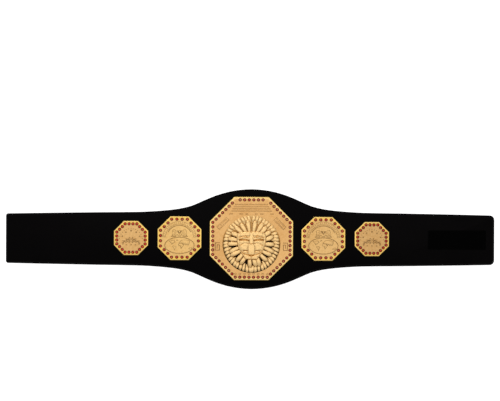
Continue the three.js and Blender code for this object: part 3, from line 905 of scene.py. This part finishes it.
def plaque_relief():
    """The main plate's panels, dashes, keys and lozenges, round the mask."""
    half = DASHES["height"] / 2
    dashes = []
    for x, width in DASHES["row"]:
        reach = width / 2 - half
        dashes.append(bar((x - reach, DASHES["y"]), (x + reach, DASHES["y"]), 2 * half))
    key = [moved(part, KEY["x"], KEY["y"]) for part in line(KEY["route"], KEY["band"])]
    y, across, up = (LOZENGES[key] for key in ("y", "across", "up"))
    lozenges = []
    for x in spaced(LOZENGES["count"], LOZENGES["spacing"]):
        lozenges.append([(x + across, y), (x, y + up), (x - across, y), (x, y - up)])
    panel, reeds = top_panel()
    side_panel, side_reeds = side_panels()
    forms = [raised(outline, RELIEF["faint"]) for outline in panel]
    forms += [raised(outline, RELIEF["low"]) for outline in side_panel]
    fine = reeds + side_reeds + lozenges + both_ways(dashes + key)
    return forms + [raised(outline) for outline in fine]


def globe_relief():
    """A middle plate's globe with a map, the ribbon over it and the bird between them."""
    y, across, up, rim, more = (GLOBE[key] for key in ("y", "across", "up", "rim", "overlap"))
    forms = [raised(band(across, up, rim, start - more, start + 180 + more, y)) for start in (0, 180)]
    for outline in LANDS.values():
        points = []
        for longitude, latitude in outline:
            narrowing = math.sqrt(1 - (latitude / MAP["narrows_at"]) ** 2)
            x = longitude * MAP["per_longitude"] * narrowing
            points.append((x, latitude * MAP["per_latitude"] + MAP["y"]))
        forms.append(raised(anticlockwise(points), RELIEF["low"]))
    outer = RIBBON["outer"]
    ribbon = band(outer, outer, outer - RIBBON["inner"], RIBBON["from"], RIBBON["to"])
    forms.append(raised(ribbon, RELIEF["low"]))
    fine = []
    sweep = NOTCHES["from"], NOTCHES["to"], NOTCHES["count"] - 1
    for inner, outer in zip(arc(NOTCHES["inner"], *sweep), arc(NOTCHES["outer"], *sweep)):
        fine.append(bar(inner, outer, LINE))
    outer = INNER_ARC["radius"] + LINE / 2
    rim = band(outer, outer, LINE, INNER_ARC["from"], INNER_ARC["to"])
    forms.append(raised(anticlockwise(BIRD_HALF + mirrored(BIRD_HALF[1:])), BIRD_RISE))
    fine += [rim, *both_ways(leaf(**feather) for feather in FEATHERS), leaf(**TAIL)]
    for x, y in BREAST["marks"]:
        tip = x + BREAST["half"], y + BREAST["rise"]
        fine += both_ways(line([(x, y), tip]))
    fine += both_ways(line(UNDER_WING))
    return forms + [raised(outline) for outline in fine]


def laurel_relief():
    """An end plate's stars and dots over its sprays, their knot and the beads."""
    outlines = []
    for x, y in arc(STARS["arch"], STARS["from"], STARS["to"], STARS["count"] - 1):
        outline = []
        for n in range(2 * STARS["points"]):
            radius = STARS["inner"] if n % 2 else STARS["outer"]
            turn = math.pi / 2 + n * math.pi / STARS["points"]
            outline.append((x + radius * math.cos(turn), y + STARS["y"] + radius * math.sin(turn)))
        outlines.append(outline)
    for x, y in arc(DOTS["arch"], DOTS["from"], DOTS["to"], DOTS["count"] - 1):
        outlines.append(ellipse(x, y + STARS["y"], DOTS["radius"], DOTS["radius"], DOTS["sides"]))
    start, end = Vector(SPRAYS["start"]), Vector(SPRAYS["end"])
    slope = math.degrees(math.atan2(*(end - start).yx))
    outlines += both_ways(line([start, end]))
    for i in range(SPRAYS["leaves"]):
        root = start.lerp(end, i / SPRAYS["leaves"])
        outlines += both_ways([leaf(*root, slope + SPRAYS["lean"] * (1 if i % 2 else -1))])
    for root in KNOT:
        outlines += both_ways([leaf(*root)])
    for x in spaced(BEADS["count"], BEADS["spacing"]):
        outlines.append(ellipse(x, BEADS["y"], BEADS["radius"], BEADS["radius"], BEADS["sides"]))
    return [raised(outline) for outline in outlines]


RELIEFS = {"plaque": plaque_relief, "globe": globe_relief, "laurel": laurel_relief}


def plate_blank(node):
    """A plate whose face slopes down to its edge, with an edge loop where its border ends."""
    low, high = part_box(node)
    shoulder = face_height(node) - PLATE_BEVEL["drop"]
    bpy.ops.mesh.primitive_cylinder_add(
        vertices=8,
        radius=(high.x - low.x) / 2 / math.cos(EIGHTH / 2),
        depth=shoulder - low.z,
        location=(*middle(node).xy, (low.z + shoulder) / 2),
        rotation=(0, 0, EIGHTH / 2),
    )
    obj = added(node + "_gold")
    with editing(obj):
        pick(obj, "faces", lambda f: f.normal.z > FLAT)
        bpy.ops.mesh.inset(thickness=PLATE_BEVEL["width"], depth=PLATE_BEVEL["drop"])
        bpy.ops.mesh.inset(thickness=BORDER - PLATE_BEVEL["width"], depth=0)
    with editing(obj, "EDGE"):
        pick_edges_at(obj, shoulder)
        bpy.ops.mesh.bevel(offset=PLATE_BEVEL["round"], segments=2, affect="EDGES")
    return obj


def in_a_seat(point, seats):
    return any((point - seat).length < SEAT["mouth"] for seat in seats)


def paint_plate(obj, node, seats):
    """Polishes the slope to the edge, gives the sides of the relief a dark gold, and paints a dark
    shade into the seats.
    """
    lifted = face_height(node) + 2 * TOLERANCE
    seats = [Vector(seat.xy) for seat in seats]
    paint(obj, 1, lambda f: UPRIGHT < f.normal.z < LEVEL)
    paint(obj, 0, lambda f: f.center.z > lifted)
    paint(obj, 2, lambda f: f.center.z > lifted and f.normal.z < FLAT)
    # The seats take the painted shade.
    paint(obj, 3, lambda f: f.normal.z < FLAT and in_a_seat(f.center.xy, seats))


def mark_border(obj, node):
    """Writes how far each point of a plate lies out in its border, from 0 to 1."""
    low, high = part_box(node)
    centre = middle(node)
    field = (high.x - low.x) / 2 - BORDER
    border = obj.data.attributes.new("border", "FLOAT", "POINT")
    for vertex in obj.data.vertices:
        past = octagon_reach(vertex.co - centre) - field
        border.data[vertex.index].value = min(max(past / (BORDER - PLATE_BEVEL["width"]), 0), 1)


def plate(node):
    """A plate with its relief and the seats of its stones."""
    obj = plate_blank(node)
    move = Matrix.Translation((*middle(node).xy, face_height(node)))
    for form in RELIEFS[PLATES[node]["relief"]]():
        form.data.transform(move)
        boolean(obj, form, "UNION")
    seats = stone_places(node)
    boolean(obj, seat_cutter(seats), "DIFFERENCE")
    smoothed(obj, degrees=30)
    shown(obj, "gold_plate", satin_gold(node), POLISHED, DARK_GOLD, SEAT_SHADE, replaces=[node])
    paint_plate(obj, node, seats)
    mark_border(obj, node)


def stone_blank():
    """One cut stone: rings of points that a hull turns into facets."""
    rings = []
    for sides, radius, z, turn in STONE_RINGS.values():
        bpy.ops.mesh.primitive_circle_add(
            vertices=sides,
            radius=radius * MM,
            location=(0, 0, z * MM),
            rotation=(0, 0, turn * 2 * math.pi / sides),
        )
        rings.append(added("ring"))
    stone = joined("stone_blank", rings)
    with editing(stone, "VERT", whole=True):
        bpy.ops.mesh.convex_hull()
    outward(stone)
    return stone


def stones(node, blank):
    """The plate's stones. Each facet gets its own painted brightness, a painted sparkle, and the
    tables a paler painted highlight.
    """
    draw = random.Random(node)
    pieces = []
    for place in stone_places(node):
        turn = Matrix.Rotation(draw.uniform(0, EIGHTH), 4, "Z")
        pieces.append(copied(blank, Matrix.Translation(place) @ turn))
    obj = joined(node + "_stones", pieces)
    tone = obj.data.attributes.new("facet_light", "FLOAT", "FACE")
    for face in obj.data.polygons:
        part = "table" if face.normal.z > FLAT else "crown"
        tone.data[face.index].value = draw.uniform(*PLATES[node][part])
    shown(obj, "red_stone", GLASS)


# Lion mask

def swept(name, sections, sway):
    """A closed form whose end face is extruded through the sections of a table."""
    root, tip = sections[0][0], sections[-1][0]
    bpy.ops.mesh.primitive_circle_add(
        vertices=LOCK_SIDES,
        radius=1,
        fill_type="NGON",
        rotation=(math.pi / 2, math.pi / LOCK_SIDES, 0),
    )
    obj = added(name)
    with editing(obj, "VERT"):
        pick(obj, "verts", lambda v: abs(v.co.z) > abs(v.co.x))
        bpy.ops.transform.resize(value=(LOCK_SQUARENESS, 1, 1), center_override=(0, 0, 0))
    here, wide, high = Vector(), 1, 1
    with editing(obj, whole=True):
        for i, (along, across, half, height) in enumerate(sections):
            aside = sway * ((along - root) / (tip - root)) ** 2
            there = Vector((across + aside, along, LOCK_SINK * height)) * MM
            step = {"value": there - here}
            if i:
                bpy.ops.mesh.extrude_region_move(TRANSFORM_OT_translate=step)
            else:
                bpy.ops.transform.translate(**step)
            new_wide = half * MM
            new_high = (1 - LOCK_SINK) * height * MM
            size = (new_wide / wide, 1, new_high / high)
            bpy.ops.transform.resize(value=size, center_override=there)
            here, wide, high = there, new_wide, new_high
    outward(obj)
    return finished_by(obj, "SUBSURF", levels=LOCK_LEVELS, render_levels=LOCK_LEVELS)


def short_rows(draw):
    """A ring of short locks, in two rows whose locks don't touch."""
    locks = [swept("short_lock", SHORT_LOCK, sway) for sway in SHORT_SWAYS]
    rows = [], []
    for i in range(SHORT_LOCKS):
        place = i + 0.5 + draw.uniform(-SHORT_SPREAD["place"], SHORT_SPREAD["place"])
        turn = Matrix.Rotation(2 * math.pi * place / SHORT_LOCKS, 4, "Z")
        sizes = draw.uniform(*SHORT_SPREAD["width"]), draw.uniform(*SHORT_SPREAD["length"])
        reach = Matrix.Diagonal((*sizes, 1, 1))
        rows[i % 2].append(copied(locks[2 * i // SHORT_LOCKS], turn @ reach))
    for lock in locks:
        bpy.data.objects.remove(lock)
    return rows


def long_rows(draw):
    """Pairs of long locks, with each pair's left and right locks in a row of their own."""
    locks = [swept("long_lock", LONG_LOCK, sway) for sway in LOCK_SWAYS]
    mirror = Matrix.Diagonal((-1, 1, 1, 1))
    rows = [], []
    for i in range(MANE_PAIRS):
        turn = Matrix.Rotation(2 * math.pi * i / MANE_PAIRS, 4, "Z")
        for row, side in zip(rows, (Matrix.Identity(4), mirror)):
            reach = Matrix.Scale(draw.uniform(*LONG_SPREAD["length"]), 4, (0, 1, 0))
            lean = draw.uniform(-LONG_SPREAD["lean"], LONG_SPREAD["lean"]) if i else PARTING_LEAN
            lock = draw.choice(locks) if i else locks[1]
            lock = copied(lock, turn @ side @ Matrix.Rotation(math.radians(lean), 4, "Z") @ reach)
            if side is mirror:
                lock.data.flip_normals()
            row.append(lock)
    for lock in locks:
        bpy.data.objects.remove(lock)
    return rows


def mane():
    """A thin disc, a ring of short locks on it and pairs of long locks over them."""
    draw = random.Random("mane")
    rows = *short_rows(draw), *long_rows(draw)
    bpy.ops.mesh.primitive_cylinder_add(
        vertices=MANE_BASE["sides"],
        radius=MANE_BASE["radius"] * MM,
        depth=MANE_BASE["height"] * MM,
        location=(0, 0, MANE_BASE["height"] * MM / 2),
    )
    base = added("mane")
    for row in rows:
        boolean(base, joined("locks", row), "UNION")
    return base


def off_route(x, y, route):
    """How far many points are from a line through a few."""
    nearest = np.full(len(x), np.inf)
    for (x0, y0), (x1, y1) in zip(route, route[1:]):
        along = (x - x0) * (x1 - x0) + (y - y0) * (y1 - y0)
        share = np.clip(along / ((x1 - x0) ** 2 + (y1 - y0) ** 2), 0, 1)
        off = np.hypot(x - x0 - share * (x1 - x0), y - y0 - share * (y1 - y0))
        nearest = np.minimum(nearest, off)
    return nearest


def stroke(x, y, half, slope, rise, route):
    """What one form adds to the face's height at many points."""
    share = np.clip((half - off_route(abs(x), y, route)) / slope, 0, 1)
    return rise * (share * share * (3 - 2 * share))


def lion_height(x, y):
    """The face's height over the plate at many points, in millimetres."""
    halves, levels = zip(*reversed(FACE_EDGE))
    inside = (abs(x) < np.interp(y, levels, halves)) & (y < levels[-1]) & (y > levels[0])
    depth_in = np.where(inside, off_route(abs(x), y, FACE_EDGE), 0)
    share = np.clip(depth_in / FACE_DOME["round"], 0, 1)
    dome = np.hypot(x, y) / FACE_DOME["reach"]
    dome = FACE_DOME["rim"] + (FACE_DOME["top"] - FACE_DOME["rim"]) * (1 - dome * dome)
    height = dome + sum(stroke(x, y, *form) for form in FACE_FORMS.values()) * share
    height += np.min([stroke(x, y, *line) for line in FACE_LINES.values()], axis=0) * share
    rounding = np.sqrt(1 - (1 - share) ** 2)
    return FACE_DOME["below"] + (height - FACE_DOME["below"]) * rounding


def lion_face():
    """A grid that is raised into the face and closed underneath."""
    corner = Vector((max(half for half, y in FACE_EDGE) + 1, FACE_EDGE[0][1] + 1))
    low = FACE_EDGE[-1][1] - 1
    size = Vector((2 * corner.x, corner.y - low))
    bpy.ops.mesh.primitive_grid_add(
        x_subdivisions=round(size.x / FACE_GRID),
        y_subdivisions=round(size.y / FACE_GRID),
        size=1,
        location=(0, (corner.y + low) / 2 * MM, 0),
    )
    bpy.context.active_object.scale = (size.x * MM, size.y * MM, 1)
    face = added("lion_face")
    with editing(face, whole=True):
        step = {"value": (0, 0, -FACE_DEPTH * MM)}
        bpy.ops.mesh.extrude_region_move(TRANSFORM_OT_translate=step)
    outward(face)
    x, y, z = points_of(face)
    z = np.where(z > -FACE_DEPTH / 2, lion_height(x, y), z)
    face.data.vertices.foreach_set("co", (np.stack((x, y, z), 1) * MM).ravel())
    return face


def patina_and_shade_at(x, y, z):
    """How much patina and painted shade darken many points, from how far they lie below what is round
    them.
    """
    extent, cell = PATINA_AND_SHADE["extent"], PATINA_AND_SHADE["cell"]
    row, column = (((value + extent) / cell).astype(int) for value in (y, x))
    side = round(2 * extent / cell)
    top = np.zeros((side, side))
    np.maximum.at(top, (row, column), z)
    kernel = np.ones(2 * PATINA_AND_SHADE["reach"] + 1)
    sums = []
    for grid in (top, (top > 0).astype(float)):
        for axis in (0, 1):
            grid = np.apply_along_axis(np.convolve, axis, grid, kernel, "same")
        sums.append(grid[row, column])
    below = sums[0] / np.maximum(sums[1], 1) - z
    dark = np.clip((below - PATINA_AND_SHADE["from"]) / PATINA_AND_SHADE["depth"], 0, 1)
    # The disc round and between the locks gets full patina and painted shade.
    dark[z < MANE_BASE["height"] + PATINA_AND_SHADE["over_disc"]] = 1
    off_face = np.hypot(x / PATINA_AND_SHADE_ON_FACE["x"], (y - PATINA_AND_SHADE_ON_FACE["middle"]) / PATINA_AND_SHADE_ON_FACE["y"])
    dark *= np.interp(off_face, PATINA_AND_SHADE_ON_FACE["ends"], (PATINA_AND_SHADE_ON_FACE["share"], 1))
    # Painted shade on the rim, deepest at its bottom, as if lit from the top.
    on_rim = np.interp(np.hypot(x, y), RIM_FROM, (0, 1))
    dark *= 1 - on_rim * (1 - np.interp(y, *zip(*SHADE_ON_RIM)))
    # Painted shade, thinner towards the top of the mask, where the light falls into the grooves.
    return dark * np.interp(y, *zip(*SHADE_SHARES))


def lion_mask():
    """The face in its mane, cut off level where it meets the plate."""
    mask = boolean(mane(), lion_face(), "UNION")
    mask.name = "lion_mask_cast"
    bpy.ops.mesh.primitive_cube_add(size=KEPT_BLOCK * MM, location=(0, 0, KEPT_BLOCK * MM / 2))
    boolean(mask, added("above_the_plate"), "INTERSECT")
    # Patina and painted shade, as a share at each point of the mask.
    patina_and_shade = mask.data.attributes.new("patina_and_shade", "FLOAT", "POINT")
    patina_and_shade.data.foreach_set("value", patina_and_shade_at(*points_of(mask)))
    place = (*middle("lion_mask").xy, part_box("lion_mask")[0].z)
    mask.data.transform(Matrix.Translation(place))
    smoothed(mask, degrees=65)
    shown(mask, "cast_gold", CAST, replaces=["lion_mask"])


# Screws and closure

def slotted_screw(node):
    """A screw with a rounded head and a shank, both from a part's screw."""
    low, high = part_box(node)
    width = high.x - low.x
    depth = SCREW_HEAD["height"]
    bpy.ops.mesh.primitive_cylinder_add(
        vertices=SCREW_HEAD["sides"], radius=width / 2, depth=depth, location=(0, 0, depth / 2)
    )
    screw = added("screw")
    with editing(screw, "EDGE"):
        pick_edges_at(screw, 0)
        bpy.ops.mesh.bevel(offset=SCREW_HEAD["round"], segments=3, affect="EDGES")
    bpy.ops.mesh.primitive_cylinder_add(
        vertices=SCREW_SHANK["sides"],
        radius=SCREW_SHANK["radius"],
        depth=high.z - low.z - SCREW_SHANK["short"],
        location=(0, 0, (low.z + high.z) / 2),
    )
    boolean(screw, added("shank"), "UNION")
    size = width, SCREW_SLOT["width"], 2 * SCREW_SLOT["depth"]
    bpy.ops.mesh.primitive_cube_add(size=1, scale=size)
    boolean(screw, added("slot"), "DIFFERENCE")
    smoothed(screw, degrees=30)
    return screw


def screws():
    """One screw, copied to the place of each of the part's screws."""
    nodes = [name for name in frame["nodes"] if "_screw_" in name]
    blank = slotted_screw(nodes[0])
    draw = random.Random("screws")
    for node in nodes:
        turn = Matrix.Rotation(draw.uniform(0, math.pi), 4, "Z")
        screw = copied(blank, Matrix.Translation((*middle(node).xy, 0)) @ turn)
        screw.name = node + "_slotted"
        shown(screw, "screw_metal", SCREW, replaces=[node])
    bpy.data.objects.remove(blank)


def tape(node, name, low, high):
    """A patch's woven backing between two heights."""
    obj = merged_copy(node, name)
    with editing(obj, whole=True):
        bpy.ops.mesh.tris_convert_to_quads()
    halfway = middle(node).z
    for vertex in obj.data.vertices:
        vertex.co.z = high if vertex.co.z > halfway else low
    return obj


def fitting(node, pitch):
    """How many columns and rows fit on a patch within its border."""
    low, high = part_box(node)
    return [round((side - 2 * PATCH_BORDER) / pitch) for side in (high - low).xy]


def loop_patch():
    """The soft half of the closure: a backing covered with small loops of yarn."""
    low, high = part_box("loop_patch")
    backing = tape("loop_patch", "loop_patch_pile", low.z, high.z - PILE_TILE["over_tape"])
    bpy.ops.mesh.primitive_torus_add(
        major_segments=6,
        minor_segments=3,
        major_radius=YARN["radius"],
        minor_radius=YARN["thickness"],
        rotation=(math.pi / 2, 0, 0),
    )
    yarn = added("yarn")
    draw = random.Random("loops")
    size, count = PILE_TILE["size"], PILE_TILE["loops"]
    tile = []
    for i in range(count * count):
        column = i % count + draw.uniform(*YARN["places"])
        row = i // count + draw.uniform(*YARN["places"])
        sink = draw.uniform(-YARN["sink"], 0)
        place = Matrix.Translation((column * size / count, row * size / count, sink))
        turn = Matrix.Rotation(draw.uniform(0, math.pi), 4, "Z")
        tilt = Matrix.Rotation(draw.uniform(-YARN["lean"], YARN["lean"]), 4, "X")
        tile.append(copied(yarn, place @ turn @ tilt))
    bpy.data.objects.remove(yarn)
    pile = joined("pile", tile)
    columns, rows = fitting("loop_patch", size)
    repeated(pile, (size, 0, 0), count=columns)
    repeated(pile, (0, size, 0), count=rows)
    centre = middle("loop_patch")
    corner = centre.x - columns * size / 2, centre.y - rows * size / 2
    pile.data.transform(Matrix.Translation((*corner, high.z - PILE_TILE["over_middles"])))
    patch = joined("loop_patch_pile", [backing, pile])
    shown(patch, "loop_pile", PILE, replaces=["loop_patch"])


def hook_patch():
    """The rough half of the closure: a backing with rows of small bent hooks under it."""
    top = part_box("hook_patch")[1].z
    root = top - HOOKS["backing"]
    backing = tape("hook_patch", "hook_patch_hooks", root, top)
    bpy.ops.mesh.primitive_circle_add(vertices=4, radius=HOOKS["radius"], fill_type="NGON")
    hook = added("hook")
    with editing(hook, whole=True):
        for step in HOOK_ROUTE:
            bpy.ops.mesh.extrude_region_move(TRANSFORM_OT_translate={"value": Vector(step) * MM})
    outward(hook)
    pitch, stagger = HOOKS["pitch"], HOOKS["stagger"]
    columns, rows = fitting("hook_patch", pitch)
    repeated(hook, (pitch, 0, 0), count=columns)
    repeated(hook, (stagger * pitch, pitch, 0), count=rows)
    reach = Vector((columns - 1 + stagger * (rows - 1), rows - 1)) * pitch
    corner = middle("hook_patch").xy - reach / 2
    hook.data.transform(Matrix.Translation((*corner, root)))
    patch = joined("hook_patch_hooks", [backing, hook])
    shown(patch, "hook_tape", TAPE, replaces=["hook_patch"])


# Studio

def studio():
    """A white sky, soft lights and a pale floor."""
    bpy.context.scene.view_settings.view_transform = "Standard"
    world = bpy.data.worlds.new("studio")
    bpy.context.scene.world = world
    world.use_nodes = True
    sky = world.node_tree.nodes["Background"]
    sky.inputs["Color"].default_value = (1, 1, 1, 1)
    sky.inputs["Strength"].default_value = SKY_STRENGTH
    bpy.ops.mesh.primitive_plane_add(size=FLOOR["size"], location=(0, 0, FLOOR["z"]))
    floor = added("floor")
    floor.data.materials.append(pale_floor())
    for name, light in LIGHTS.items():
        soft_light(name, **light)


def soft_light(name, place, size, power):
    """A rectangle of light that shines at the middle of the belt."""
    light = bpy.data.lights.new(name, "AREA")
    light.shape = "RECTANGLE"
    light.size, light.size_y = size
    light.energy = power
    obj = bpy.data.objects.new(name, light)
    obj.location = place
    obj.rotation_euler = (-Vector(place)).to_track_quat("-Z", "Y").to_euler()
    bpy.context.scene.collection.objects.link(obj)


def camera():
    """A camera straight above the belt, over a point that lies towards its top."""
    data = bpy.data.cameras.new("camera")
    data.lens = LENS
    data.sensor_width = SENSOR
    obj = bpy.data.objects.new("camera", data)
    obj.location = (*VIEW_CENTRE, VIEW_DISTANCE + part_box("strap")[1].z)
    obj.rotation_euler = (0, 0, VIEW_ROLL)
    bpy.context.scene.collection.objects.link(obj)
    bpy.context.scene.camera = obj


camera()
studio()
face_seam, back_seam = strap()
seam("face_stitching", face_seam)
seam("back_stitching", back_seam)
stone = stone_blank()
for plate_node in PLATES:
    plate(plate_node)
    stones(plate_node, stone)
bpy.data.objects.remove(stone)
lion_mask()
screws()
loop_patch()
hook_patch()
